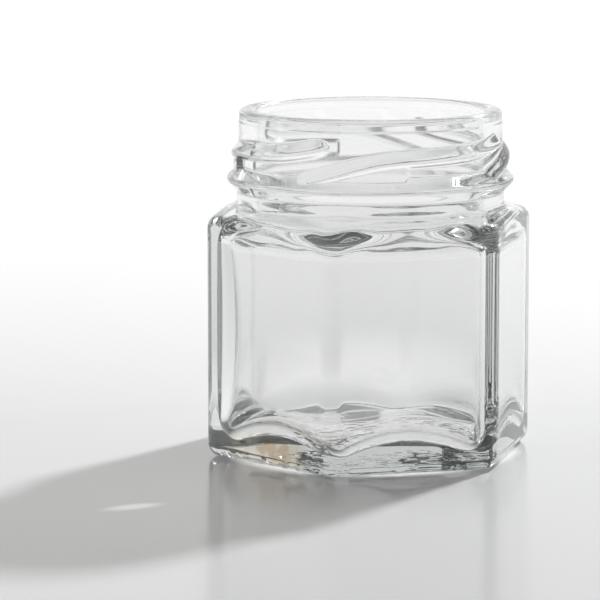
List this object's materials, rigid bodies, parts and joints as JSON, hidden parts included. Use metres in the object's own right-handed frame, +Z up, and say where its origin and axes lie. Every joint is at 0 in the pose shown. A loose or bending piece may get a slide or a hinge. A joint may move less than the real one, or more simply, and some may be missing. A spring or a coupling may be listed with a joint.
{
  "type": "hexagonal glass jar",
  "caption": "Small six-sided clear glass preserve jar with sloping shoulders, a thick base and a twist-off lug neck; empty and without its lid.",
  "frame": {"origin": "middle of the base, on the plane that the jar stands on", "axes": "+Z up along the axis of the neck; two opposite flats face +Y and -Y, and two opposite upright corners lie on the X axis"},
  "size_m": [0.0496, 0.0438, 0.0512],
  "materials": {
    "glass": "clear, smooth, fire-polished"
  },
  "bodies": {
    "root": {"glass_jar": "glass"}
  },
  "joints": []
}
